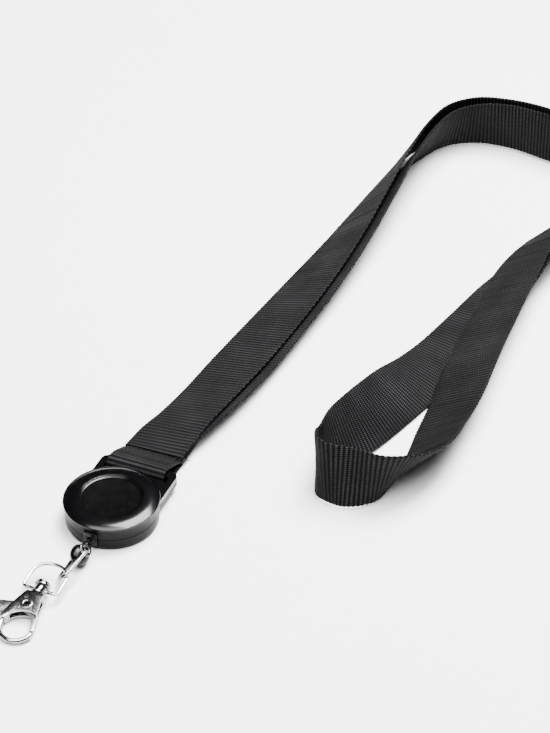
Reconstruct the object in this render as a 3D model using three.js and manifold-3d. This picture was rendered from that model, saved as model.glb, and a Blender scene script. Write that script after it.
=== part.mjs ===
// Lanyard badge holder: a neck loop of ribbed webbing, a round retractable badge reel and a swivel
// trigger clasp. Millimetres, +Z up. The origin is the centre of the reel's flat rear face, which rests
// on the table. +Y runs from the reel to the webbing, and the pull cord leaves along -Y.
import * as THREE from 'three';
import { mergeVertices } from 'three/addons/utils/BufferGeometryUtils.js';
import Module from 'manifold-3d';

const wasm = await Module();
wasm.setup();

// ---- Driving dimensions ----
const GAP = 0.3; // clearance between separate pieces

const REEL_RADIUS = 14.5; // rim of the front shell
const WALL_RADIUS = 14.1; // side wall of both shells
const WALL = 1.2;
const RIM_Z = 7.6; // underside of the overhanging rim
const CROWN_Z = 8.9; // highest point of the front
const PART_Z = 3.9; // parting plane, at mid-height
const RECESS_RADIUS = 9.6; // label recess in the front
const RECESS_Z = 8.15;
const POST_RADIUS = 1.6; // centre post that the spool turns on
const POST_TOP = 7.0;

const LUG_HALF = 12.6;
const LUG_REAR_Y = 20.3;
const LUG_THICKNESS = 3.0;
const BAR_Y = 19.0; // centre of the bar behind the slot
const BAR_WIDTH = 2.6;
const SLOT_HALF = 10.5;
const SLOT_FRONT_Y = 14.9;

const MOUTH_HALF = 2.3; // cord outlet in the side wall
const MOUTH_LOW = 1.5;
const MOUTH_HIGH = 6.3;
const CORD_RADIUS = 0.4;

const WEB_WIDTH = 20;
const WEB_THICKNESS = 1.0;
const FOLD_RADIUS = 2.35; // inner radius of the webbing round the bar
const FOLD_END_Y = 29.5;
const FOLD_WIDTH = 19.4;
const FOLD_X = -0.4;

const BEAD_Y = -21.2; // centre of the cord end's bulb
const BEAD_Z = 3.4;
const BEAD_TILT = 45; // the bulb's flat side, degrees from level
const BEAD_HALF_WIDTH = 3.1;
const BEAD_HALF_THICKNESS = 2.1;
const EYELET_Y = -20.1;
const EYELET_BORE = 1.2;

const LINK_WIRE = 0.55;
const LINK_HALF = 3.3; // half width where the wire passes the eyelet
const LINK_END_Y = -32.5;
const LINK_END_HALF = 2.0;
const LINK_RISE = 4.2; // the clasp end lies higher, degrees

const CLASP_X = -3.8; // centre of the bail's base bar
const CLASP_Y = -38.6;
const CLASP_Z = 3.4;
const CLASP_DROP = 6.9; // the hook end lies lower, degrees
const BAIL_HALF = 5.45;
const BAIL_WIRE = 0.55;
const BAIL_SIDE = 4.5; // length of the straight sides
const STEM_RADIUS = 0.9;
const BODY_THICKNESS = 3.6;
const CHEEK_GAP = 1.8; // slot between the two cheeks, for the gate lever
const RIVET_X = -0.4;
const RIVET_Y = -6.9;
const HOOK_Y = -14.0; // centre of the hook's ring
const HOOK_RADIUS = 5.0;
const HOOK_WIRE = 0.75;

// Centre line of each strand as x, y, z, lean and rake. Lean turns the webbing about its run, with the
// right edge up for a positive angle, and rake slants the line from edge to edge along the run.
const OUTER_RUN = [
  [0.2, 32.2, 3.5, 2, 0], [1, 38, 4.2, 8, 0], [2.5, 46, 4.7, 14, 0], [4.5, 60, 4.6, 15, 0],
  [6.5, 80, 4.2, 13, 0], [9, 104.5, 4.4, 16, 0], [11.5, 129.5, 5.4, 23, 0], [13.5, 154.5, 6.8, 34, 0],
  [14.5, 179.5, 8.2, 46, 0], [15.5, 204.5, 9.3, 57, 0], [17.5, 224.5, 10, 65, 0], [22, 238.5, 10.2, 71, 0],
  [32, 247, 10.4, 76, 0], [45.5, 249, 10.5, 82, 0], [60.5, 247, 10.6, 88, 0], [78.5, 242.5, 10.6, 90, 0],
  [93, 231.5, 10.6, 95, 0], [97, 215, 10.4, 106, 0], [91.5, 198, 9.4, 121, 0], [83.5, 183, 7.7, 135, 0],
  [78, 168, 5.9, 148, 0], [74, 153, 3.7, 162, 0], [70, 133, 1.7, 174, 0], [66, 113.5, 1.1, 182, 0],
  [63, 98.5, 2.5, 191, 0], [60, 84, 5, 206, 0], [55.7, 62.5, 8, 227, 0], [52.5, 48.5, 9.9, 248, 0],
];
const NECK_BEND = [
  [51, 36.5, 10.4, 268, -20], [54.5, 33, 10.6, 278, -12], [62, 33, 10.6, 285, 0],
];
const INNER_RUN = [
  [0.2, 30.8, 1.9, 0, 0], [1, 38, 2.4, 8, 0], [3.5, 46, 3.2, 14, 0], [6.5, 60, 3.2, 15, 0],
  [9, 79.5, 2.8, 13, 0], [11.5, 104.5, 3.3, 16, 0], [14, 129, 4.4, 22, 0], [16, 154, 5.8, 32, 0],
  [17.5, 179, 7.6, 45, 0], [18.5, 203, 9, 57, 0], [21, 222, 9.7, 66, 0], [25.5, 234.5, 10.1, 72, 0],
  [34, 242, 10.3, 77, 0], [45.5, 244.5, 10.5, 83, 0], [60, 242.5, 10.6, 88, 0], [76, 238, 10.6, 90, 0],
  [88.5, 228.5, 10.6, 95, 0], [91.5, 215, 10.5, 106, 0], [87, 200.5, 10.1, 119, 0], [80.5, 187, 9.5, 132, 0],
  [77.2, 170, 8.9, 144, 0], [76.3, 152.5, 8.1, 151, 0], [76.6, 132.5, 7.5, 152, 0], [77.1, 114, 7.2, 152, 0],
  [78, 99.5, 7.6, 152, 0], [79, 86, 7.1, 150, 0], [79, 72, 6.4, 146, 0], [79.2, 57.5, 7.3, 138, 0],
  [77, 46, 8.9, 124, 0], [72, 37, 10.2, 100, 0],
];

// ---- Materials ----
const material = (name, color, roughness, metalness) =>
  new THREE.MeshStandardMaterial({ name, color, roughness, metalness });
const WEBBING = material('webbing', 0x17171a, 0.9, 0);
const THREAD = material('thread', 0x0f0f11, 0.8, 0);
const GLOSS = material('gloss_plastic', 0x0b0b0c, 0.15, 0);
const SATIN = material('satin_plastic', 0x26262a, 0.4, 0);
const GUIDE = material('guide_plastic', 0x3a3a3d, 0.5, 0);
const BEAD = material('bead_plastic', 0x0b0b0c, 0.2, 0);
const INNER = material('inner_plastic', 0x4a4a4c, 0.5, 0);
const CORD = material('cord', 0x101012, 0.8, 0);
const SPRING = material('spring_steel', 0x6a6c70, 0.35, 1);
const CHROME = material('chrome', 0xc9cbd0, 0.12, 1);
const DARK_STEEL = material('dark_steel', 0x6c6e72, 0.3, 1);

// ---- Solids ----
// Merges shared corners, drops collapsed triangles and turns the faces outward.
function weld(geometry) {
  const bare = geometry.clone();
  bare.deleteAttribute('normal');
  bare.deleteAttribute('uv');
  const merged = mergeVertices(bare, 1e-4);
  const from = merged.getIndex().array;
  const at = merged.getAttribute('position');
  const corners = [0, 1, 2].map(() => new THREE.Vector3());
  const kept = [];
  let volume = 0;
  for (let i = 0; i < from.length; i += 3) {
    const [a, b, c] = [from[i], from[i + 1], from[i + 2]];
    if (a === b || b === c || c === a) continue;
    kept.push(a, b, c);
    corners.forEach((corner, k) => corner.fromBufferAttribute(at, from[i + k]));
    volume += corners[0].dot(corners[1].clone().cross(corners[2]));
  }
  if (volume < 0) kept.reverse();
  merged.setIndex(kept);
  return merged;
}

function toManifold(geometry) {
  const welded = weld(geometry);
  return new wasm.Manifold(new wasm.Mesh({
    numProp: 3,
    vertProperties: new Float32Array(welded.getAttribute('position').array),
    triVerts: new Uint32Array(welded.getIndex().array),
  }));
}

function fromManifold(solid) {
  const mesh = solid.getMesh();
  const geometry = new THREE.BufferGeometry();
  geometry.setAttribute('position', new THREE.BufferAttribute(mesh.vertProperties, 3));
  geometry.setIndex(new THREE.BufferAttribute(mesh.triVerts, 1));
  return geometry;
}

// First geometry, with the added ones joined and the cut ones taken away.
function carve(base, { add = [], cut = [] }) {
  let solid = toManifold(base);
  for (const piece of add) solid = solid.add(toManifold(piece));
  for (const piece of cut) solid = solid.subtract(toManifold(piece));
  return fromManifold(solid);
}

const box = (x0, x1, y0, y1, z0, z1) =>
  new THREE.BoxGeometry(x1 - x0, y1 - y0, z1 - z0).translate((x0 + x1) / 2, (y0 + y1) / 2, (z0 + z1) / 2);

// Turned solid about +Z from [radius, z] points.
const turned = (points, segments) =>
  new THREE.LatheGeometry(points.map(([r, z]) => new THREE.Vector2(r, z)), segments).rotateX(Math.PI / 2);

// Turned solid about +Y from [radius, y] points.
const turnedAlongY = (points, segments) =>
  new THREE.LatheGeometry(points.map(([r, y]) => new THREE.Vector2(r, y)), segments);

const discZ = (radius, z0, z1, segments) =>
  new THREE.CylinderGeometry(radius, radius, z1 - z0, segments)
    .rotateX(Math.PI / 2).translate(0, 0, (z0 + z1) / 2);

const discY = (radius, y0, y1, segments) =>
  new THREE.CylinderGeometry(radius, radius, y1 - y0, segments).translate(0, (y0 + y1) / 2, 0);

const roundSection = (radius, sides) => {
  const shape = new THREE.Shape();
  for (let i = 0; i < sides; i += 1) {
    const angle = (2 * Math.PI * i) / sides;
    shape[i ? 'lineTo' : 'moveTo'](radius * Math.cos(angle), radius * Math.sin(angle));
  }
  return shape;
};

const wireAlong = (curve, radius, steps, sides = 8) =>
  new THREE.ExtrudeGeometry(roundSection(radius, sides), { extrudePath: curve, steps, bevelEnabled: false });

function named(name, geometry, surface) {
  const mesh = new THREE.Mesh(weld(geometry), surface);
  mesh.name = name;
  return mesh;
}

// ---- Webbing ----
// The whole webbing as one route: out along the outer strand, round the neck bend and back along the
// inner strand, whose stations are read backwards with their lean turned over.
const backwards = ([x, y, z, lean, rake]) => [x, y, z, 360 - lean, -rake];
const WEB_ROUTE = [...OUTER_RUN, ...NECK_BEND, ...INNER_RUN.slice().reverse().map(backwards)];
const webMiddle = new THREE.CatmullRomCurve3(
  WEB_ROUTE.map(([x, y, z]) => new THREE.Vector3(x, y, z)), false, 'centripetal');
const webTurn = new THREE.SplineCurve(WEB_ROUTE.map((s) => new THREE.Vector2(s[3], s[4])));

// Flat band between two places on the route, counted in stations, with its width along their lean.
function band(name, from, to, segments, across = 3) {
  const geometry = new THREE.BoxGeometry(WEB_WIDTH, 1, WEB_THICKNESS, across, segments, 1);
  const at = geometry.getAttribute('position');
  const up = new THREE.Vector3(0, 0, 1);
  for (let i = 0; i < at.count; i += 1) {
    const t = (from + (at.getY(i) + 0.5) * (to - from)) / (WEB_ROUTE.length - 1);
    const middle = webMiddle.getPoint(t);
    const run = webMiddle.getTangent(t);
    const side = run.clone().cross(up).normalize();
    const rise = side.clone().cross(run);
    const angles = webTurn.getPoint(t);
    const lean = THREE.MathUtils.degToRad(angles.x);
    rise.addScaledVector(run, Math.tan(THREE.MathUtils.degToRad(angles.y)));
    const over = side.clone().multiplyScalar(Math.cos(lean)).addScaledVector(rise, Math.sin(lean));
    const face = over.clone().cross(run).normalize();
    middle.addScaledVector(over, at.getX(i)).addScaledVector(face, at.getZ(i));
    at.setXYZ(i, middle.x, middle.y, middle.z);
  }
  return named(name, geometry, WEBBING);
}

// Two strands and the bend that joins them, with a hair's gap where one solid ends and the next begins.
function neckStrap() {
  const gap = 0.012;
  const bendStart = OUTER_RUN.length - 1;
  const bendEnd = OUTER_RUN.length + NECK_BEND.length;
  return [
    band('strap_outer_strand', 0, bendStart - gap, 54),
    band('strap_neck_bend', bendStart + gap, bendEnd - gap, 14),
    band('strap_inner_strand', bendEnd + gap, WEB_ROUTE.length - 1, 54),
  ];
}

// Webbing folded round the lug's bar, extruded sideways from its side view.
function strapFold() {
  const outer = FOLD_RADIUS + WEB_THICKNESS;
  const topEnd = 2.4;
  const tailTop = 1.1;
  const side = new THREE.Shape();
  side.moveTo(FOLD_END_Y, topEnd);
  side.lineTo(BAR_Y, PART_Z + outer);
  side.absarc(BAR_Y, PART_Z, outer, Math.PI / 2, 1.5 * Math.PI, false);
  side.lineTo(FOLD_END_Y, tailTop - WEB_THICKNESS);
  side.lineTo(FOLD_END_Y, tailTop);
  side.lineTo(BAR_Y, PART_Z - FOLD_RADIUS);
  side.absarc(BAR_Y, PART_Z, FOLD_RADIUS, 1.5 * Math.PI, Math.PI / 2, true);
  side.lineTo(FOLD_END_Y, topEnd - WEB_THICKNESS);
  side.closePath();
  const fold = new THREE.ExtrudeGeometry(side, { depth: FOLD_WIDTH, bevelEnabled: false, curveSegments: 8 });
  // The side view's x is +Y, its y is +Z, and its depth is +X.
  fold.applyMatrix4(new THREE.Matrix4().makeBasis(
    new THREE.Vector3(0, 1, 0), new THREE.Vector3(0, 0, 1), new THREE.Vector3(1, 0, 0)));
  return named('strap_fold', fold.translate(FOLD_X - FOLD_WIDTH / 2, 0, 0), WEBBING);
}

// Dense rows of stitches that close the fold, as one thin pad on the webbing's sloping top.
function barTack() {
  const length = 7.5;
  const pad = new THREE.BoxGeometry(17, length, 0.4);
  const slope = -Math.atan2(PART_Z + FOLD_RADIUS + WEB_THICKNESS - 2.4, FOLD_END_Y - BAR_Y);
  pad.rotateX(slope).translate(FOLD_X, 25, 5.35);
  return named('bar_tack', pad, THREAD);
}

// ---- Reel ----
const slotCut = () => box(-SLOT_HALF, SLOT_HALF, SLOT_FRONT_Y, BAR_Y - BAR_WIDTH / 2, -1, 10);
const mouthCut = () => box(-MOUTH_HALF, MOUTH_HALF, -20, -WALL_RADIUS + 2.4, MOUTH_LOW, MOUTH_HIGH);

// Half of the strap lug: a plate with clipped rear corners.
function lugPlate(z0, z1) {
  const corner = 2.2;
  const plate = new THREE.Shape();
  plate.moveTo(-LUG_HALF, 4);
  plate.lineTo(LUG_HALF, 4);
  plate.lineTo(LUG_HALF, LUG_REAR_Y - corner);
  plate.absarc(LUG_HALF - corner, LUG_REAR_Y - corner, corner, 0, Math.PI / 2, false);
  plate.lineTo(-LUG_HALF + corner, LUG_REAR_Y);
  plate.absarc(-LUG_HALF + corner, LUG_REAR_Y - corner, corner, Math.PI / 2, Math.PI, false);
  plate.closePath();
  return new THREE.ExtrudeGeometry(plate, { depth: z1 - z0, bevelEnabled: false, curveSegments: 4 })
    .translate(0, 0, z0);
}

const hollowCut = (z0, z1) => discZ(WALL_RADIUS - WALL, z0, z1, 40);

function frontShell() {
  const low = PART_Z + GAP / 2;
  const lip = RECESS_RADIUS;
  const skin = turned([
    [0, RECESS_Z], [lip - 0.9, RECESS_Z], [lip - 0.75, CROWN_Z - 0.4], [lip - 0.3, CROWN_Z - 0.35],
    [lip, CROWN_Z], [lip + 1.6, CROWN_Z - 0.1], [REEL_RADIUS - 1.8, CROWN_Z - 0.45],
    [REEL_RADIUS - 0.5, CROWN_Z - 0.85], [REEL_RADIUS, RIM_Z + 0.2], [REEL_RADIUS, RIM_Z],
    [WALL_RADIUS, RIM_Z], [WALL_RADIUS, low], [0, low],
  ], 48);
  const roof = CROWN_Z - 1.65;
  const boss = carve(discZ(2.6, 5.9, CROWN_Z - 1.2, 20), { cut: [discZ(POST_RADIUS + 0.1, 5, roof, 20)] });
  const hollow = carve(hollowCut(low - 1, roof), { cut: [boss] });
  return named('front_shell', carve(skin, {
    add: [carve(lugPlate(low, PART_Z + LUG_THICKNESS / 2), { cut: [slotCut()] })],
    cut: [hollow, mouthCut()],
  }), GLOSS);
}

function rearShell() {
  const high = PART_Z - GAP / 2;
  const skin = turned([
    [0, 0], [WALL_RADIUS - 1.1, 0], [WALL_RADIUS - 0.35, 0.35], [WALL_RADIUS, 1.1], [WALL_RADIUS, high],
    [0, high],
  ], 48);
  const shell = carve(skin, {
    add: [carve(lugPlate(PART_Z - LUG_THICKNESS / 2, high), { cut: [slotCut()] })],
    cut: [hollowCut(WALL, 6), mouthCut()],
  });
  // The centre post is slit at its top for the spring's inner end.
  const post = carve(discZ(POST_RADIUS, 0.5, POST_TOP, 20), { cut: [box(-0.2, 0.2, -3, 3, 4.4, 9)] });
  return named('rear_shell', carve(shell, { add: [post] }), SATIN);
}

// Bush that guides the cord through the side wall.
function cordGuide() {
  const half = MOUTH_HALF - 0.2;
  const block = box(-half, half, -14.6, -WALL_RADIUS + 1.4, MOUTH_LOW + 0.2, MOUTH_HIGH - 0.2);
  const bore = discY(0.85, -20, -5, 14).translate(0, 0, PART_Z);
  return named('cord_guide', carve(block, { cut: [bore] }), GUIDE);
}

// Spool: a flanged drum outside, and the spring's chamber inside it.
const SPOOL_LOW = 1.6;
const DRUM_RADIUS = 8.6;
const FLANGE_RADIUS = 12.2;
const CHAMBER_RADIUS = 7.7;
const SPOOL_BORE = POST_RADIUS + 0.15;
function spool() {
  return named('spool', turned([
    [SPOOL_BORE, SPOOL_LOW], [FLANGE_RADIUS, SPOOL_LOW], [FLANGE_RADIUS, 2.2], [DRUM_RADIUS, 2.2],
    [DRUM_RADIUS, 6.0], [FLANGE_RADIUS, 6.0], [FLANGE_RADIUS, 6.6], [CHAMBER_RADIUS, 6.6],
    [CHAMBER_RADIUS, 2.2], [SPOOL_BORE, 2.2], [SPOOL_BORE, SPOOL_LOW],
  ], 32), INNER);
}

// Thin lid that keeps the spring in its chamber.
function springCover() {
  return named('spring_cover', turned([
    [2.9, 5.9], [CHAMBER_RADIUS - 0.25, 5.9], [CHAMBER_RADIUS - 0.25, 6.4], [2.9, 6.4], [2.9, 5.9],
  ], 28), INNER);
}

// Wound clock spring between the post and the drum.
function spiralSpring() {
  const turns = 4.5;
  const start = 2.3;
  const pitch = (CHAMBER_RADIUS - 0.55 - start) / turns;
  const half = 0.12;
  const steps = Math.round(turns * 18);
  const edge = [];
  for (let i = 0; i <= steps; i += 1) edge.push([(i / steps) * turns, half]);
  for (let i = steps; i >= 0; i -= 1) edge.push([(i / steps) * turns, -half]);
  const strip = new THREE.Shape(edge.map(([turn, offset]) => {
    const radius = start + pitch * turn + offset;
    return new THREE.Vector2(radius * Math.cos(2 * Math.PI * turn), radius * Math.sin(2 * Math.PI * turn));
  }));
  const spring = new THREE.ExtrudeGeometry(strip, { depth: 2.9, bevelEnabled: false });
  return named('spiral_spring', spring.translate(0, 0, 2.6), SPRING);
}

// Outer shape of the cord wound on the drum.
function cordWinding() {
  const inner = DRUM_RADIUS + GAP;
  return named('cord_winding', turned([
    [inner, 2.6], [10.9, 2.6], [11.2, 3.0], [11.2, 5.2], [10.9, 5.6], [inner, 5.6], [inner, 2.6],
  ], 28), CORD);
}

// ---- Cord end and link ----
function pullCord() {
  const line = new THREE.LineCurve3(new THREE.Vector3(0, -11.6, PART_Z), new THREE.Vector3(0, -15.9, PART_Z));
  return named('pull_cord', wireAlong(line, CORD_RADIUS, 4), CORD);
}

// Moulded bead on the cord: a ribbed neck and a flattened bulb with an eyelet across it.
function cordEnd() {
  const group = new THREE.Group();
  group.position.set(0, BEAD_Y, BEAD_Z);
  group.rotation.y = THREE.MathUtils.degToRad(90 - BEAD_TILT);
  const bulb = new THREE.SphereGeometry(1, 22, 14).rotateX(Math.PI / 2)
    .scale(BEAD_HALF_WIDTH, 3.5, BEAD_HALF_THICKNESS);
  const neck = turnedAlongY([
    [0, 1.5], [1.5, 1.5], [1.5, 2.9], [1.2, 3.1], [1.2, 3.5], [1.5, 3.7], [1.5, 4.3], [1.2, 4.5],
    [1.2, 4.9], [0, 4.9],
  ], 16);
  const bore = discZ(EYELET_BORE + 0.35, -4, 4, 18).translate(0, EYELET_Y - BEAD_Y, 0);
  group.add(named('cord_end', carve(bulb, { add: [neck], cut: [bore] }), BEAD));
  const rim = turned([
    [EYELET_BORE, -2.3], [EYELET_BORE + 0.75, -2.3], [EYELET_BORE + 0.75, -2.1], [EYELET_BORE + 0.25, -2.1],
    [EYELET_BORE + 0.25, 2.1], [EYELET_BORE + 0.75, 2.1], [EYELET_BORE + 0.75, 2.3], [EYELET_BORE, 2.3],
    [EYELET_BORE, -2.3],
  ], 18).translate(0, EYELET_Y - BEAD_Y, 0);
  group.add(named('cord_eyelet', rim, CHROME));
  return group;
}

// Closed wire from corner points, each rounded by its own radius.
function closedWire(corners, radius, segments, sides) {
  const path = new THREE.Shape();
  const count = corners.length;
  for (let i = 0; i < count; i += 1) {
    const here = new THREE.Vector2(...corners[i]);
    const before = new THREE.Vector2(...corners[(i + count - 1) % count]);
    const after = new THREE.Vector2(...corners[(i + 1) % count]);
    const reach = corners[i][2];
    const enter = here.clone().add(before.sub(here).setLength(reach));
    const leave = here.clone().add(after.sub(here).setLength(reach));
    path[i ? 'lineTo' : 'moveTo'](enter.x, enter.y);
    path.quadraticCurveTo(here.x, here.y, leave.x, leave.y);
  }
  path.closePath();
  const points = path.getSpacedPoints(segments).slice(0, -1).map((p) => new THREE.Vector3(p.x, p.y, 0));
  return new THREE.TubeGeometry(new THREE.CatmullRomCurve3(points, true), segments, radius, sides, true);
}

// Wire link: wide where it passes the eyelet, narrow where it holds the bail.
function linkRing() {
  const wire = closedWire([
    [-LINK_HALF, EYELET_Y, 1.4], [LINK_HALF, EYELET_Y, 1.4], [LINK_END_HALF, LINK_END_Y, 1.4],
    [-LINK_END_HALF, LINK_END_Y, 1.4],
  ], LINK_WIRE, 36, 8);
  // The ring's plane holds the bore's axis and the run of the cord.
  const axis = THREE.MathUtils.degToRad(BEAD_TILT);
  const ring = named('link_ring', wire.translate(0, -EYELET_Y, 0), CHROME);
  const group = new THREE.Group();
  group.position.set(0, EYELET_Y, BEAD_Z);
  group.rotation.set(THREE.MathUtils.degToRad(-LINK_RISE), -axis, 0, 'XYZ');
  group.add(ring);
  return group;
}

// ---- Clasp ----
function bail() {
  const top = BAIL_SIDE + BAIL_HALF;
  const wire = closedWire([
    [-BAIL_HALF, 0, 0.8], [BAIL_HALF, 0, 0.8], [BAIL_HALF, top, 5.4], [-BAIL_HALF, top, 5.4],
  ], BAIL_WIRE, 44, 8);
  const boss = discY(1.8, -0.8, 0.8, 18);
  return named('bail', carve(wire, { add: [boss], cut: [discY(STEM_RADIUS + 0.2, -3, 3, 16)] }), CHROME);
}

function swivelPost() {
  return named('swivel_post', turnedAlongY([
    [0, 2.9], [1.5, 2.9], [2.3, 2.5], [2.4, 2.1], [2.1, 1.9], [2.4, 1.7], [2.4, 1.1], [STEM_RADIUS, 1.1],
    [STEM_RADIUS, -3.3], [0, -3.3],
  ], 18), CHROME);
}

function swivelCollar() {
  return named('swivel_collar', turnedAlongY([
    [STEM_RADIUS + 0.15, -1.1], [2.1, -1.1], [2.2, -1.4], [2.1, -1.75], [STEM_RADIUS + 0.15, -1.75],
    [STEM_RADIUS + 0.15, -1.1],
  ], 18), CHROME);
}

// Hook: a body of two cheeks joined at the top, which runs into a round hook with an open right side.
function hookBody() {
  const plate = new THREE.Shape();
  plate.moveTo(-2.6, -2.1);
  plate.lineTo(2.6, -2.1);
  plate.quadraticCurveTo(2.9, -5.5, 3.9, -9.4);
  plate.quadraticCurveTo(0, -7.9, -3.3, -10.9);
  plate.lineTo(-4.2, -13.2);
  plate.lineTo(-5.75, -13.2);
  plate.quadraticCurveTo(-5.3, -9, -2.6, -2.1);
  const body = new THREE.ExtrudeGeometry(plate, {
    depth: BODY_THICKNESS, bevelEnabled: false, curveSegments: 5,
  }).translate(0, 0, -BODY_THICKNESS / 2);
  const cheekSlot = box(-8, 8, -11.6, -3.9, -CHEEK_GAP / 2, CHEEK_GAP / 2);
  const arm = new THREE.EllipseCurve(0, 0, HOOK_RADIUS, HOOK_RADIUS, Math.PI * 0.93, Math.PI * 1.93, false);
  const armPath = new THREE.CatmullRomCurve3(
    arm.getPoints(14).map((p) => new THREE.Vector3(p.x, p.y + HOOK_Y, 0)), false, 'centripetal');
  return named('hook_body', carve(body, {
    add: [wireAlong(armPath, HOOK_WIRE, 18, 10)],
    cut: [
      cheekSlot,
      discZ(1.2, -4, 4, 16).translate(RIVET_X, RIVET_Y, 0),
      discY(STEM_RADIUS + 0.15, -3.6, 0, 16),
    ],
  }), CHROME);
}

// Gate lever: one plate with the gate arm on the right and the thumb tab on the left.
function gateLever() {
  const plate = new THREE.Shape();
  plate.moveTo(-1.6, -5.4);
  plate.lineTo(1.0, -5.6);
  plate.quadraticCurveTo(3.4, -7.5, 4.4, -10.4);
  plate.lineTo(5.3, -14.1);
  plate.lineTo(4.1, -14.5);
  plate.lineTo(3.0, -10.6);
  plate.quadraticCurveTo(1.6, -8.6, -1.2, -8.6);
  plate.quadraticCurveTo(-5.0, -9.2, -9.6, -10.6);
  plate.lineTo(-10.2, -7.6);
  plate.quadraticCurveTo(-5.0, -6.4, -1.6, -5.4);
  const thickness = CHEEK_GAP - 2 * GAP;
  const lever = new THREE.ExtrudeGeometry(plate, { depth: thickness, bevelEnabled: false, curveSegments: 5 })
    .translate(0, 0, -thickness / 2);
  const bore = discZ(1.2, -2, 2, 16).translate(RIVET_X, RIVET_Y, 0);
  return named('gate_lever', carve(lever, { cut: [bore] }), DARK_STEEL);
}

// Hollow rivet through both cheeks and the lever.
function gateRivet() {
  const face = BODY_THICKNESS / 2;
  const barrel = 1.0;
  const flange = 2.0;
  return named('gate_rivet', turned([
    [0.65, -face - 0.5], [flange, -face - 0.45], [flange, -face - 0.15], [barrel, -face - 0.15],
    [barrel, face + 0.15], [flange, face + 0.15], [flange - 0.2, face + 0.5], [0.9, face + 0.5],
    [0.65, face + 0.2], [0.65, -face - 0.5],
  ], 18).translate(RIVET_X, RIVET_Y, 0), CHROME);
}

// Small leaf spring between the hook's bridge and the lever.
function gateSpring() {
  const leaf = new THREE.Shape();
  leaf.moveTo(-2.2, -4.5);
  leaf.quadraticCurveTo(0.1, -4.0, 2.4, -4.7);
  leaf.lineTo(2.3, -4.9);
  leaf.quadraticCurveTo(0.1, -4.25, -2.1, -4.75);
  const strip = new THREE.ExtrudeGeometry(leaf, { depth: 1.2, bevelEnabled: false, curveSegments: 6 });
  return named('gate_spring', strip.translate(0, 0, -0.6), SPRING);
}

function clasp() {
  const group = new THREE.Group();
  group.position.set(CLASP_X, CLASP_Y, CLASP_Z);
  group.rotation.x = THREE.MathUtils.degToRad(CLASP_DROP);
  group.add(bail(), swivelPost(), swivelCollar(), hookBody(), gateLever(), gateRivet(), gateSpring());
  return group;
}

// ---- Assembly ----
const group = new THREE.Group();
group.add(...neckStrap(), strapFold(), barTack());
group.add(frontShell(), rearShell(), cordGuide(), spool(), springCover(), spiralSpring(), cordWinding());
group.add(pullCord(), cordEnd(), linkRing(), clasp());
export default group;
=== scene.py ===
import math
import random

import bmesh
import bpy
import numpy as np
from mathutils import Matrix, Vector


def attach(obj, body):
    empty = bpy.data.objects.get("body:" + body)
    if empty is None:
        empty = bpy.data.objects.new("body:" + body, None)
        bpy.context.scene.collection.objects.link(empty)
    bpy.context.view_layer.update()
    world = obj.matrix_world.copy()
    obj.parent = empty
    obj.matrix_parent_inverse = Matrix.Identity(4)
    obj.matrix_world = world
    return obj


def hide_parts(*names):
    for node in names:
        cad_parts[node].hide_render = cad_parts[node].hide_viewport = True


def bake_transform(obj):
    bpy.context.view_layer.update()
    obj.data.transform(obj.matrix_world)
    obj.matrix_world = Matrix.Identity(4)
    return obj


MM = 0.001

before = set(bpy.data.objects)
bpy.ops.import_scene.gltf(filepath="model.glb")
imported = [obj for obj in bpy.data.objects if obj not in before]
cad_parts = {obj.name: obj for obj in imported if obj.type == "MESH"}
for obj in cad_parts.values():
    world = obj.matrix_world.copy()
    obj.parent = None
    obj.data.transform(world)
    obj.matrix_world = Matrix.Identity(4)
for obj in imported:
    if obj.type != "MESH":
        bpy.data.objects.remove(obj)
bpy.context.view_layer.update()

# ---- Camera: the photograph's view ----
CAMERA_PLACE = (216.0, -390.7, 403.2)  # millimetres
CAMERA_AZIMUTH = 22.7
CAMERA_DROP = 37.92  # degrees below level
FOCAL_PIXELS = 2000
LONG_SIDE_PIXELS = 733

camera = bpy.data.cameras.new("camera")
camera.lens = camera.sensor_width * FOCAL_PIXELS / LONG_SIDE_PIXELS
camera_object = bpy.data.objects.new("camera", camera)
camera_object.location = Vector(CAMERA_PLACE) * MM
camera_object.rotation_euler = (math.radians(90 - CAMERA_DROP), 0, math.radians(CAMERA_AZIMUTH))
bpy.context.collection.objects.link(camera_object)
bpy.context.scene.camera = camera_object

# ---- Dimensions, in millimetres ----
WEB_WIDTH = 20.0
WEB_HALF_THICKNESS = 0.42
RIB_PITCH = 1.36
RIB_HEIGHT = 0.12
PART_Z = 3.9
BAR_Y = 19.0
FOLD_MIDDLE_RADIUS = 2.85
FOLD_WIDTH = 19.4
FOLD_X = -0.4
FOLD_END_Y = 29.5
LUG_SKEW = 0.14  # tangent of the angle at which the strap leaves the lug
WALL_RADIUS = 14.1
HOLLOW_RADIUS = 12.9
ROOF_Z = 7.25  # inside of the front half
BASE_Z = 1.2  # inside of the rear half
FRONT_EDGE_Z = 3.94  # the two halves meet at the parting line
REAR_EDGE_Z = 3.86
RECESS_Z = 8.15
RECESS_RADIUS = 8.55
YARN_WIDTH = 0.62

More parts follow.
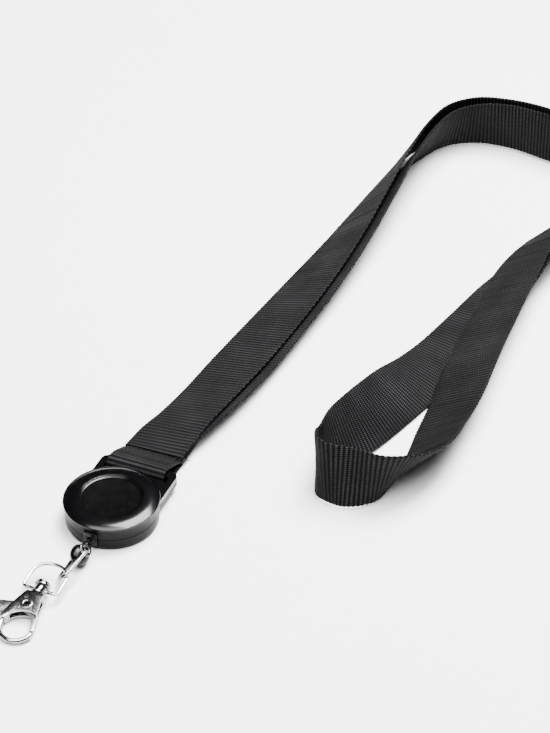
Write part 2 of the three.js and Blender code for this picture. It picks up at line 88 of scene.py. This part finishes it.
# Centre line of each strand as x, y, z, lean and rake, as in the CAD part.
OUTER_RUN = [
    (-0.1, 28.8, 3.45, 0, 0), (1, 38, 4.2, 8, 0), (2.5, 46, 4.7, 14, 0), (4.5, 60, 4.6, 15, 0),
    (6.5, 80, 4.2, 13, 0), (9, 104.5, 4.4, 16, 0), (11.5, 129.5, 5.4, 23, 0), (13.5, 154.5, 6.8, 34, 0),
    (14.5, 179.5, 8.2, 46, 0), (15.5, 204.5, 9.3, 57, 0), (17.5, 224.5, 10, 65, 0), (22, 238.5, 10.2, 71, 0),
    (32, 247, 10.4, 76, 0), (45.5, 249, 10.5, 82, 0), (60.5, 247, 10.6, 88, 0), (78.5, 242.5, 10.6, 90, 0),
    (93, 231.5, 10.6, 95, 0), (97, 215, 10.4, 106, 0), (91.5, 198, 9.4, 121, 0), (83.5, 183, 7.7, 135, 0),
    (78, 168, 5.9, 148, 0), (74, 153, 3.7, 162, 0), (70, 133, 1.7, 174, 0), (66, 113.5, 1.1, 182, 0),
    (63, 98.5, 2.5, 191, 0), (60, 84, 5, 206, 0), (55.7, 62.5, 8, 227, 0), (52.5, 48.5, 9.9, 248, 0),
]
NECK_BEND = [(51, 36.5, 10.4, 268, -20), (54.5, 33, 10.6, 278, -12), (62, 33, 10.6, 285, 0)]
INNER_RUN = [
    (0.2, 30.8, 1.9, 0, 0), (1, 38, 2.4, 8, 0), (3.5, 46, 3.2, 14, 0), (6.5, 60, 3.2, 15, 0),
    (9, 79.5, 2.8, 13, 0), (11.5, 104.5, 3.3, 16, 0), (14, 129, 4.4, 22, 0), (16, 154, 5.8, 32, 0),
    (17.5, 179, 7.6, 45, 0), (18.5, 203, 9, 57, 0), (21, 222, 9.7, 66, 0), (25.5, 234.5, 10.1, 72, 0),
    (34, 242, 10.3, 77, 0), (45.5, 244.5, 10.5, 83, 0), (60, 242.5, 10.6, 88, 0), (76, 238, 10.6, 90, 0),
    (88.5, 228.5, 10.6, 95, 0), (91.5, 215, 10.5, 106, 0), (87, 200.5, 10.1, 119, 0), (80.5, 187, 9.5, 132, 0),
    (77.2, 170, 8.9, 144, 0), (76.3, 152.5, 8.1, 151, 0), (76.6, 132.5, 7.5, 152, 0), (77.1, 114, 7.2, 152, 0),
    (78, 99.5, 7.6, 152, 0), (79, 86, 7.1, 150, 0), (79, 72, 6.4, 146, 0), (79.2, 57.5, 7.3, 138, 0),
    (77, 46, 8.9, 124, 0), (72, 37, 10.2, 100, 0),
]


# ---- Shader helpers ----
class Shader:
    """A material's node tree, with short ways to add nodes and constants."""

    def __init__(self, name):
        self.material = bpy.data.materials.new(name)
        self.material.use_nodes = True
        self.nodes = self.material.node_tree.nodes
        self.links = self.material.node_tree.links
        self.surface = self.nodes["Principled BSDF"]

    def add(self, kind, settings=None, **inputs):
        node = self.nodes.new(kind)
        for key, value in (settings or {}).items():
            setattr(node, key, value)
        for key, value in inputs.items():
            self.feed(node.inputs[key.replace("_", " ")], value)
        return node

    def feed(self, socket, value):
        if isinstance(value, bpy.types.NodeSocket):
            self.links.new(value, socket)
        else:
            socket.default_value = value

    def set(self, **inputs):
        for key, value in inputs.items():
            self.feed(self.surface.inputs[key.replace("_", " ")], value)

    def place(self):
        """Position in millimetres on the rest shape."""
        found = self.add("ShaderNodeTexCoord").outputs["Object"]
        return self.add("ShaderNodeVectorMath", {"operation": "SCALE"}, Vector=found, Scale=1000.0).outputs[0]

    def noise(self, vector, scale, detail=3.0, rough=0.55):
        return self.add("ShaderNodeTexNoise", Vector=vector, Scale=scale, Detail=detail, Roughness=rough).outputs[0]

    def ramp(self, value, low, high, dark, bright):
        """Maps value from low..high to dark..bright, as numbers."""
        node = self.add("ShaderNodeMapRange")
        for socket, number in zip(node.inputs[:5], (value, low, high, dark, bright)):
            self.feed(socket, number)
        return node.outputs[0]

    def math(self, operation, a, b=0.0):
        node = self.add("ShaderNodeMath", {"operation": operation})
        self.feed(node.inputs[0], a)
        self.feed(node.inputs[1], b)
        return node.outputs[0]

    def tint(self, value, dark, bright):
        node = self.add("ShaderNodeMix", {"data_type": "RGBA"})
        self.feed(node.inputs[0], value)
        node.inputs[6].default_value = (*dark, 1)
        node.inputs[7].default_value = (*bright, 1)
        return node.outputs[2]

    def bump(self, height, distance_mm, strength=1.0):
        self.set(Normal=self.add(
            "ShaderNodeBump", Height=height, Distance=distance_mm * MM, Strength=strength).outputs[0])


def plastic(name, dark, bright, roughness, grain=0.004, gloss=0.3):
    """Moulded plastic: a little uneven in gloss, with a faint skin of flow marks."""
    s = Shader(name)
    at = s.place()
    mottle = s.noise(at, 0.35)
    fine = s.noise(at, 3.2)
    s.set(Base_Color=s.tint(s.ramp(mottle, 0.3, 0.7, 0, 1), dark, bright))
    s.set(Roughness=s.ramp(fine, 0.3, 0.7, roughness * 0.8, roughness * 1.25), Specular_IOR_Level=gloss)
    s.bump(fine, grain)
    return s.material


def metal(name, dark, bright, roughness, grain=0.003, stretch=(1, 1, 1)):
    """Plated or rolled metal, with polishing marks along one direction."""
    s = Shader(name)
    at = s.place()
    drawn = s.add("ShaderNodeVectorMath", {"operation": "MULTIPLY"}, Vector=at)
    drawn.inputs[1].default_value = stretch
    marks = s.noise(drawn.outputs[0], 2.4, 4.0)
    cloud = s.noise(at, 0.5)
    s.set(Metallic=1.0, Base_Color=s.tint(s.ramp(cloud, 0.3, 0.7, 0, 1), dark, bright))
    s.set(Roughness=s.ramp(marks, 0.3, 0.7, roughness * 0.7, roughness * 1.4))
    s.bump(marks, grain)
    return s.material


def webbing_material():
    """Black polyester webbing. UV is the distance along and across the strap, in metres."""
    s = Shader("ribbed_webbing")
    uv = s.add("ShaderNodeUVMap", {"uv_map": "strap"}).outputs[0]
    flat = s.add("ShaderNodeVectorMath", {"operation": "SCALE"}, Vector=uv, Scale=1000.0).outputs[0]
    split = s.add("ShaderNodeSeparateXYZ", Vector=flat)
    along, across = split.outputs[0], split.outputs[1]
    # Warp yarns cross each rib, half a yarn aside on every other rib.
    rib = s.math("DIVIDE", along, RIB_PITCH)
    side = s.math("MULTIPLY", s.math("MODULO", s.math("FLOOR", rib), 2.0), 0.5)
    yarn = s.math("ADD", s.math("DIVIDE", across, YARN_WIDTH), side)
    yarn_height = s.math("ABSOLUTE", s.math("SINE", s.math("MULTIPLY", yarn, math.pi)))
    rib_height = s.math("ABSOLUTE", s.math("SINE", s.math("MULTIPLY", rib, math.pi)))
    weave = s.math("MULTIPLY", yarn_height, rib_height)
    speckle = s.noise(flat, 1.3, 4.0, 0.7)
    cloud = s.noise(flat, 0.06, 2.0)
    height = s.math("ADD", weave, s.math("MULTIPLY", speckle, 0.6))
    # Base colour follows the weave's height: darker in the valleys between ribs and yarns (painted shade) and
    # lighter on their crowns (painted highlight). The random speckle and cloud are the yarn's own uneven tone.
    painted_weave_shade_and_tone = s.math("MULTIPLY", s.ramp(height, 0.55, 1.3, 0.0, 1.0), s.ramp(cloud, 0.3, 0.7, 0.75, 1.1))
    painted_weave_shade_and_tone = s.math("MULTIPLY", painted_weave_shade_and_tone, painted_weave_shade_and_tone)
    s.set(Base_Color=s.tint(painted_weave_shade_and_tone, (0.0003, 0.0003, 0.0004), (0.036, 0.036, 0.038)))
    s.set(Roughness=s.ramp(speckle, 0.3, 0.7, 0.55, 0.85), Specular_IOR_Level=0.05)
    s.bump(height, 0.16, 0.9)
    return s.material


def thread_material(name, dark, bright):
    s = Shader(name)
    at = s.place()
    twist = s.noise(at, 4.0, 2.0)
    s.set(Base_Color=s.tint(twist, dark, bright), Roughness=0.7)
    s.set(Specular_IOR_Level=0.1)
    s.bump(twist, 0.05)
    return s.material


GLOSS = plastic("polished_black_plastic", (0.0008, 0.0008, 0.001), (0.0016, 0.0016, 0.002), 0.17, gloss=0.28)
SATIN = plastic("satin_black_plastic", (0.002, 0.002, 0.0023), (0.0042, 0.0042, 0.0047), 0.33, 0.01, 0.06)
RECESS = plastic("matt_recess_plastic", (0.0003, 0.0003, 0.0003), (0.0016, 0.0016, 0.0016), 0.5, 0.03, 0.02)
GUIDE = plastic("dark_grey_plastic", (0.002, 0.002, 0.0022), (0.005, 0.005, 0.0055), 0.35, 0.01, 0.15)
BEAD = plastic("black_bead_plastic", (0.0006, 0.0006, 0.0008), (0.0014, 0.0014, 0.0017), 0.22, gloss=0.15)
INNER = plastic("natural_acetal", (0.26, 0.26, 0.26), (0.36, 0.36, 0.35), 0.45, 0.01)
CHROME = metal("nickel_chrome", (0.28, 0.28, 0.29), (0.42, 0.42, 0.43), 0.16)
DARK_STEEL = metal("plated_stamped_steel", (0.2, 0.2, 0.21), (0.32, 0.32, 0.33), 0.28, 0.01, (0.2, 1, 1))
SPRING = metal("rolled_spring_steel", (0.28, 0.28, 0.3), (0.4, 0.4, 0.42), 0.3, 0.006, (1, 0.2, 1))
WEBBING = webbing_material()
THREAD = thread_material("sewing_thread", (0.0005, 0.0005, 0.0006), (0.022, 0.022, 0.023))
CORD = thread_material("braided_cord", (0.001, 0.001, 0.001), (0.006, 0.006, 0.0065))


# ---- Mesh helpers ----
def add_object(name, vertices, faces, material, smooth=True):
    mesh = bpy.data.meshes.new(name)
    mesh.from_pydata([tuple(v) for v in np.asarray(vertices) * MM], [], faces)
    mesh.materials.append(material)
    mesh.validate()
    if smooth:
        mesh.shade_smooth()
    made = bpy.data.objects.new(name, mesh)
    bpy.context.collection.objects.link(made)
    return made


def skin_rings(rings, closed_run=False, caps=True):
    """Faces that join equal rings of points in order, with flat caps on an open run."""
    count, around = len(rings), len(rings[0])
    faces = []
    for i in range(count if closed_run else count - 1):
        here, there = i * around, ((i + 1) % count) * around
        for j in range(around):
            k = (j + 1) % around
            faces.append((here + j, here + k, there + k, there + j))
    if caps and not closed_run:
        faces.append(tuple(range(around - 1, -1, -1)))
        faces.append(tuple((count - 1) * around + j for j in range(around)))
    return faces


def outward(made):
    """Turns the faces outward."""
    work = bmesh.new()
    work.from_mesh(made.data)
    bmesh.ops.recalc_face_normals(work, faces=work.faces)
    work.to_mesh(made.data)
    work.free()
    return made


def lathe(name, profile, segments, material):
    """Closed solid of revolution about +Z from (radius, z) points that start and end on the axis."""
    vertices, faces = [(0, 0, profile[0][1])], []
    for radius, z in profile[1:-1]:
        for k in range(segments):
            turn = 2 * math.pi * k / segments
            vertices.append((radius * math.cos(turn), radius * math.sin(turn), z))
    vertices.append((0, 0, profile[-1][1]))
    last = len(vertices) - 1
    rows = len(profile) - 2
    for k in range(segments):
        n = (k + 1) % segments
        faces.append((0, 1 + k, 1 + n))
        for row in range(rows - 1):
            a, b = 1 + row * segments, 1 + (row + 1) * segments
            faces.append((a + k, b + k, b + n, a + n))
        a = 1 + (rows - 1) * segments
        faces.append((a + k, last, a + n))
    return outward(add_object(name, vertices, faces, material))


def prism(name, outline, z0, z1, material):
    """Straight solid from a flat outline in x and y."""
    vertices = [(x, y, z) for z in (z0, z1) for x, y in outline]
    n = len(outline)
    faces = [tuple(range(n - 1, -1, -1)), tuple(range(n, 2 * n))]
    faces += [(i, (i + 1) % n, n + (i + 1) % n, n + i) for i in range(n)]
    return outward(add_object(name, vertices, faces, material, smooth=False))


def rounded(x0, x1, y0, y1, radii, steps=8):
    """Rectangle outline with its own radius at each corner, from the lower left, counterclockwise."""
    corners = [(x0, y0, 180), (x1, y0, 270), (x1, y1, 0), (x0, y1, 90)]
    outline = []
    for (x, y, start), radius in zip(corners, radii):
        cx = x + radius if x == x0 else x - radius
        cy = y + radius if y == y0 else y - radius
        for i in range(steps + 1 if radius else 1):
            angle = math.radians(start + 90 * i / steps)
            outline.append((cx + radius * math.cos(angle), cy + radius * math.sin(angle)))
    return outline


def combine(base, tools):
    """Joins or cuts the tools, given as (operation, object), and removes them."""
    for operation, tool in tools:
        step = base.modifiers.new("join", "BOOLEAN")
        step.operation, step.object, step.solver = operation, tool, "EXACT"
    made = bpy.data.meshes.new_from_object(base.evaluated_get(bpy.context.evaluated_depsgraph_get()))
    base.modifiers.clear()
    base.data = made
    for _, tool in tools:
        bpy.data.objects.remove(tool)
    return base


def soften(made, width_mm, angle=32, segments=3):
    """Rounds the edges and shades smoothly between them."""
    made.data.shade_smooth()
    edge = made.modifiers.new("edge", "BEVEL")
    edge.width, edge.segments = width_mm * MM, segments
    edge.limit_method, edge.angle_limit = "ANGLE", math.radians(angle)
    edge.harden_normals = True
    edge.use_clamp_overlap = True
    return made


def tube(name, points, radius, sides, material, taper=None):
    """Round tube through points, in millimetres."""
    points = [Vector(p) for p in points]
    rings = []
    side = None
    for i, p in enumerate(points):
        run = (points[min(i + 1, len(points) - 1)] - points[max(i - 1, 0)]).normalized()
        if side is None:
            side = run.orthogonal().normalized()
        side = (side - run * side.dot(run)).normalized()
        lift = run.cross(side)
        r = radius * (taper(i / (len(points) - 1)) if taper else 1)
        turns = [2 * math.pi * k / sides for k in range(sides)]
        rings.append([p + side * (r * math.cos(a)) + lift * (r * math.sin(a)) for a in turns])
    return outward(add_object(name, [v for ring in rings for v in ring], skin_rings(rings), material))


def merge(name, parts):
    """Several objects as one."""
    work = bmesh.new()
    for part in parts:
        work.from_mesh(part.data)
    mesh = bpy.data.meshes.new(name)
    work.to_mesh(mesh)
    work.free()
    mesh.materials.append(parts[0].data.materials[0])
    for part in parts:
        bpy.data.objects.remove(part)
    mesh.shade_smooth()
    made = bpy.data.objects.new(name, mesh)
    bpy.context.collection.objects.link(made)
    return made


# ---- Webbing ----
def spline(values, t, knots=None):
    """Catmull-Rom through rows of values at t, counted in rows. Knots give centripetal spacing."""
    values = np.asarray(values, float)
    padded = np.vstack([2 * values[0] - values[1], values, 2 * values[-1] - values[-2]])
    if knots is None:
        gaps = np.ones(len(padded) - 1)
    else:
        gaps = np.linalg.norm(np.diff(padded, axis=0), axis=1) ** 0.5
    i = np.clip(np.floor(t).astype(int), 0, len(values) - 2)
    w = (t - i)[:, None]
    p0, p1, p2, p3 = (padded[i + k] for k in range(4))
    g0, g1, g2 = (gaps[i + k][:, None] for k in range(3))
    m1 = ((p1 - p0) / g0 - (p2 - p0) / (g0 + g1) + (p2 - p1) / g1) * g1
    m2 = ((p2 - p1) / g1 - (p3 - p1) / (g1 + g2) + (p3 - p2) / g2) * g1
    return p1 + m1 * w + (3 * (p2 - p1) - 2 * m1 - m2) * w**2 + (2 * (p1 - p2) + m1 + m2) * w**3


def unit(vectors):
    return vectors / np.linalg.norm(vectors, axis=1, keepdims=True)


def strap_route():
    """Middle line, width direction and width of the whole strap, from its cut end to the folded tail."""
    turned_back = [(x, y, z, 360 - lean, -rake) for x, y, z, lean, rake in reversed(INNER_RUN)]
    route = np.array([*OUTER_RUN, *NECK_BEND, *turned_back], float)
    t = np.linspace(0, len(route) - 1, 9000)
    middle = spline(route[:, :3], t, knots="centripetal")
    lean, rake = np.radians(spline(route[:, 3:], t)).T
    run = unit(np.gradient(middle, axis=0))
    side = unit(np.cross(run, (0, 0, 1)))
    rise = np.cross(side, run) + run * np.tan(rake)[:, None]
    over = side * np.cos(lean)[:, None] + rise * np.sin(lean)[:, None]
    # Near the lug the ribs stay square to its slot, though the strap leaves at an angle.
    near_lug = (np.minimum(t, len(route) - 1 - t) < 6) & (middle[:, 0] < 20)
    fade = np.clip((52 - middle[:, 1]) / 18, 0, 1) * near_lug
    over += run * (fade * LUG_SKEW)[:, None]
    # The strap's inner end goes round the lug's bar and back under itself.
    top = PART_Z + FOLD_MIDDLE_RADIUS
    bend = np.linspace(math.radians(118), math.radians(270), 160)
    arc_y = BAR_Y + FOLD_MIDDLE_RADIUS * np.cos(bend)
    arc_z = PART_Z + FOLD_MIDDLE_RADIUS * np.sin(bend)
    slope_y = np.array([29.3, 27.5, 24.5, 21.5, 19.6])
    slope_z = np.array([2.2, 2.95, 4.5, 6.0, 6.62])
    tail_y = np.linspace(BAR_Y + 1, FOLD_END_Y, 40)
    tail_z = np.linspace(1.05, 0.62, 40)
    knots_y = np.concatenate([[30.8], slope_y, [18.9], arc_y[::20], tail_y[::13]])
    knots_z = np.concatenate([[1.9], slope_z, [top], arc_z[::20], tail_z[::13]])
    shift = np.concatenate([[0.2, 0.1], np.full(len(knots_y) - 2, FOLD_X)])
    fold_knots = np.stack([shift, knots_y, knots_z], axis=1)
    fold = spline(fold_knots, np.linspace(0, len(fold_knots) - 1, 900), knots="centripetal")[4:]
    middle = np.vstack([middle, fold])
    over = np.vstack([over, np.tile((-1.0, 0, 0), (len(fold), 1))])
    width = np.concatenate([np.full(len(run), WEB_WIDTH), np.full(len(fold), FOLD_WIDTH)])
    ease = np.arange(-400, 200)
    width[len(run) + ease] = WEB_WIDTH + (FOLD_WIDTH - WEB_WIDTH) * (ease + 400) / 600
    return middle, over, width


def cross_section(across=13):
    """Across (-1 to 1) and height (-1 to 1) of points round the strap's section."""
    top = [(x, 1.0) for x in np.linspace(-0.955, 0.955, across)]
    right = [(0.988, 0.72), (1.0, 0.0), (0.988, -0.72)]
    bottom = [(x, -1.0) for x in np.linspace(0.955, -0.955, across)]
    left = [(-0.988, -0.72), (-1.0, 0.0), (-0.988, 0.72)]
    return np.array(top + right + bottom + left)


def strap(per_rib=5):
    middle, over, width = strap_route()
    step = np.linalg.norm(np.diff(middle, axis=0), axis=1)
    distance = np.concatenate([[0], np.cumsum(step)])
    length = distance[-1]
    count = int(round(length / RIB_PITCH)) * per_rib
    s = np.linspace(0, length, count + 1)
    sample = lambda values: np.stack([np.interp(s, distance, column) for column in values.T], axis=1)
    centre, over = sample(middle), sample(over)
    half = np.interp(s, distance, width) / 2
    half *= 0.95 + 0.05 * np.clip(s / 9, 0, 1)  # drawn in by the stitches at the cut end
    run = unit(np.gradient(centre, axis=0))
    face = unit(np.cross(over, run))
    section = cross_section()
    wave = np.cos(2 * math.pi * np.arange(count + 1) / per_rib)
    rng = np.random.default_rng(7)
    uneven = 1 + 0.25 * rng.standard_normal(count // per_rib + 2).repeat(per_rib)[: count + 1]
    swell = WEB_HALF_THICKNESS + RIB_HEIGHT * wave * np.clip(uneven, 0.4, 1.6)
    edge = np.where(np.abs(section[:, 0]) > 0.97, 1.0, 0.0)[None, :] * (wave * 0.06 - 0.02)[:, None]
    x = section[None, :, 0] * half[:, None] + np.sign(section[:, 0])[None, :] * edge
    z = section[None, :, 1] * swell[:, None]
    points = centre[:, None, :] + over[:, None, :] * x[:, :, None] + face[:, None, :] * z[:, :, None]
    faces = skin_rings(points)
    made = add_object("neck_webbing", points.reshape(-1, 3), faces, WEBBING)
    around = len(section)
    layer = made.data.uv_layers.new(name="strap")
    corner = np.empty(len(made.data.loops), int)
    made.data.loops.foreach_get("vertex_index", corner)
    uv = np.stack([s[corner // around], 10 + x.reshape(-1)[corner]], axis=1) * MM
    layer.data.foreach_set("uv", uv.reshape(-1))
    return made, length


webbing, strap_length = strap()
outward(webbing)
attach(webbing, "strap")
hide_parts("strap_outer_strand", "strap_neck_bend", "strap_inner_strand", "strap_fold")


# ---- Stitches, frayed end and loose thread ----
def slope_height(y):
    """Top of the webbing's slope down from the lug's bar."""
    return float(np.interp(y, [19, 21.5, 24.5, 27.5, 29.3, 31], [7.2, 6.5, 5.0, 3.45, 2.75, 2.45]))


def tack_rows():
    random.seed(3)
    stitches = []
    for row in range(5):
        y = 22.6 + 1.35 * row
        count = 30
        for i in range(count):
            x = FOLD_X - 8.4 + 16.8 * (i + 0.5) / count + random.uniform(-0.05, 0.05)
            lean = 0.28 if i % 2 else -0.28
            points = []
            for k in range(5):
                u = k / 4 - 0.5
                py = y + 1.05 * u
                points.append((x + lean * 2 * u, py, slope_height(py) + 0.2 + 0.16 * (1 - 4 * u * u)))
            stitches.append(tube("stitch", points, 0.13, 6, THREAD))
    return merge("tack_stitches", stitches)


def fibres():
    random.seed(11)
    made = []
    for _ in range(110):
        x = random.uniform(-9.2, 9.2)
        base = Vector((x, 28.9 + random.uniform(-0.1, 0.3), 3.35 + random.uniform(-0.4, 0.3)))
        drift = Vector((random.uniform(-0.6, 0.6), -random.uniform(0.5, 1.5), -random.uniform(0.0, 0.5)))
        bow = Vector((random.uniform(-0.25, 0.25), 0, random.uniform(0.0, 0.25)))
        points = [base + drift * (k / 4) + bow * (4 * k / 4 * (1 - k / 4)) for k in range(5)]
        made.append(tube("fibre", points, 0.07, 5, THREAD, lambda u: 1 - 0.5 * u))
    tail = [(9.1, 29.1, 3.3), (10.1, 29.4, 2.8), (10.9, 29.9, 2.5), (11.5, 30.0, 2.7), (11.9, 29.7, 2.8)]
    made.append(tube("fibre", tail, 0.16, 6, THREAD, lambda u: 1 - 0.4 * u))
    return merge("frayed_threads", made)


stitches = tack_rows()
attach(stitches, "strap")
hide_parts("bar_tack")
frays = fibres()
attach(frays, "strap")

# ---- Reel ----
SEGMENTS = 144


def lug(name, z0, z1, material):
    return prism(name, rounded(-12.6, 12.6, 4, 20.3, (0, 0, 2.2, 2.2)), z0, z1, material)


def lug_slot():
    return prism("slot", rounded(-10.5, 10.5, 14.9, 17.7, (0.9, 0.9, 0.9, 0.9)), -1, 12, SATIN)


def mouth():
    return prism("mouth", rounded(-2.3, 2.3, -20, -11.7, (0, 0, 0, 0)), 1.5, 6.3, SATIN)


def arc(cx, cz, radius, start, end, steps=7):
    angles = [math.radians(start + (end - start) * i / steps) for i in range(steps + 1)]
    return [(cx + radius * math.cos(a), cz + radius * math.sin(a)) for a in angles]


def finish_faces(made, chooser, extra):
    """Gives faces the material numbered by chooser(centre in mm, normal)."""
    for material in extra:
        made.data.materials.append(material)
    for polygon in made.data.polygons:
        polygon.material_index = chooser(polygon.center / MM, polygon.normal)


def reel_front():
    dome = [(r, 8.9 - 1.2 * ((r - 9.9) / 4.6) ** 2.2) for r in np.linspace(10.1, 14.15, 15)]
    profile = [(0, RECESS_Z), (RECESS_RADIUS, RECESS_Z), *arc(RECESS_RADIUS, 8.3, 0.15, 270, 350, 4)]
    profile += [(8.8, 8.42), (8.95, 8.5), (9.25, 8.5)]
    profile += [(9.36, 8.56), (9.45, 8.74), *arc(9.72, 8.72, 0.18, 170, 80, 5), *dome]
    profile += [*arc(14.2, 7.9, 0.3, 50, -70, 6), (14.15, 7.6), (WALL_RADIUS, 7.5), (WALL_RADIUS, 4.02)]
    profile += [(14.0, FRONT_EDGE_Z), (HOLLOW_RADIUS, FRONT_EDGE_Z), (HOLLOW_RADIUS, ROOF_Z), (0, ROOF_Z)]
    shell = lathe("reel_front", profile, SEGMENTS, GLOSS)
    ring_profile = [(0, 3), (HOLLOW_RADIUS, 3), (HOLLOW_RADIUS, ROOF_Z), (0, ROOF_Z)]
    ring = lathe("hollow", ring_profile, SEGMENTS, GLOSS)
    plate = combine(lug("plate", FRONT_EDGE_Z, 5.4, GLOSS), [("DIFFERENCE", ring)])
    combine(shell, [("UNION", plate), ("DIFFERENCE", lug_slot()), ("DIFFERENCE", mouth())])

    def choose(at, normal):
        radius = math.hypot(at.x, at.y)
        if radius < 8.7 and at.z > 8.05:
            return 1
        return 2 if at.z < 7.55 and abs(normal.z) < 0.6 and radius < 14.3 else 0

    finish_faces(shell, choose, [RECESS, SATIN])
    return soften(shell, 0.12, 40, 2)


def reel_rear():
    profile = [(0, 0), (12.6, 0), *arc(12.8, 1.3, 1.3, 275, 360, 8), (WALL_RADIUS, 3.78)]
    profile += [(14.0, REAR_EDGE_Z), (HOLLOW_RADIUS, REAR_EDGE_Z)]
    profile += [(HOLLOW_RADIUS, BASE_Z), (1.6, BASE_Z), (1.6, 7.0), (0, 7.0)]
    shell = lathe("reel_rear", profile, SEGMENTS, SATIN)
    ring_profile = [(0, BASE_Z), (HOLLOW_RADIUS, BASE_Z), (HOLLOW_RADIUS, 5), (0, 5)]
    ring = lathe("hollow", ring_profile, SEGMENTS, SATIN)
    plate = combine(lug("plate", 2.4, REAR_EDGE_Z, SATIN), [("DIFFERENCE", ring)])
    combine(shell, [("UNION", plate), ("DIFFERENCE", lug_slot()), ("DIFFERENCE", mouth())])
    return soften(shell, 0.12, 40, 2)


front = reel_front()
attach(front, "reel")
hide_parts("front_shell")
rear = reel_rear()
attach(rear, "reel")
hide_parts("rear_shell")


# ---- Pull cord: straight, and drawn out between the reel and the bead ----
cord = tube("pull_cord_line", [(0, -11.6 - 0.1 * i, PART_Z) for i in range(44)], 0.4, 12, CORD)
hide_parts("pull_cord")
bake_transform(cord)

# ---- CAD pieces shown as they are, with rounded edges ----
SHOWN = {
    "cord_guide": (GUIDE, 0.2), "cord_end": (BEAD, 0.12), "cord_eyelet": (CHROME, 0.08),
    "link_ring": (CHROME, 0), "bail": (CHROME, 0.1), "swivel_post": (CHROME, 0.08),
    "swivel_collar": (CHROME, 0.08), "hook_body": (CHROME, 0.22), "gate_lever": (DARK_STEEL, 0.15),
    "gate_rivet": (CHROME, 0.1), "gate_spring": (SPRING, 0), "spool": (INNER, 0.1),
    "spring_cover": (INNER, 0.05), "spiral_spring": (SPRING, 0), "cord_winding": (CORD, 0),
}
for name, (material, edge) in SHOWN.items():
    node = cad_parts[name]
    node.data.materials.clear()
    node.data.materials.append(material)
    node.data.shade_smooth()
    weld = node.modifiers.new("weld", "WELD")
    weld.merge_threshold = 2e-6
    if edge:
        soften(node, edge, 34)

# ---- Floor and light ----
floor_shader = Shader("white_sweep")
floor_grain = floor_shader.noise(floor_shader.place(), 0.02, 2.0)
floor_shader.set(Base_Color=floor_shader.tint(floor_grain, (0.88, 0.88, 0.88), (0.9, 0.9, 0.9)), Roughness=0.7)
floor_shader.set(Specular_IOR_Level=0.2)
FLOOR_REACH = 3000
floor = add_object(
    "floor", [(FLOOR_REACH * i, FLOOR_REACH * j, 0) for i, j in ((-1, -1), (1, -1), (1, 1), (-1, 1))],
    [(0, 1, 2, 3)], floor_shader.material)
floor.location.z = -0.05 * MM


def softbox(name, place, aim, size, power):
    light = bpy.data.lights.new(name, "AREA")
    light.shape, light.size, light.size_y, light.energy = "RECTANGLE", size[0], size[1], power
    made = bpy.data.objects.new(name, light)
    made.location = place
    made.rotation_euler = (Vector(aim) - Vector(place)).to_track_quat("-Z", "Y").to_euler()
    bpy.context.collection.objects.link(made)


softbox("overhead_softbox", (0.16, 0.42, 1.0), (0.05, 0.1, 0), (0.5, 0.65), 62)
softbox("front_softbox", (0.15, -0.3, 1.5), (0.05, 0.05, 0), (1.5, 0.9), 62)

world = bpy.data.worlds.new("studio")
world.use_nodes = True
tree = world.node_tree
split = tree.nodes.new("ShaderNodeSeparateXYZ")
tree.links.new(tree.nodes.new("ShaderNodeTexCoord").outputs["Generated"], split.inputs[0])
glow = tree.nodes.new("ShaderNodeMapRange")
for socket, number in zip(glow.inputs[1:5], (-0.3, 0.9, 0.08, 1.3)):
    socket.default_value = number
tree.links.new(split.outputs[0], glow.inputs[0])
tree.links.new(glow.outputs[0], tree.nodes["Background"].inputs[1])
bpy.context.scene.world = world
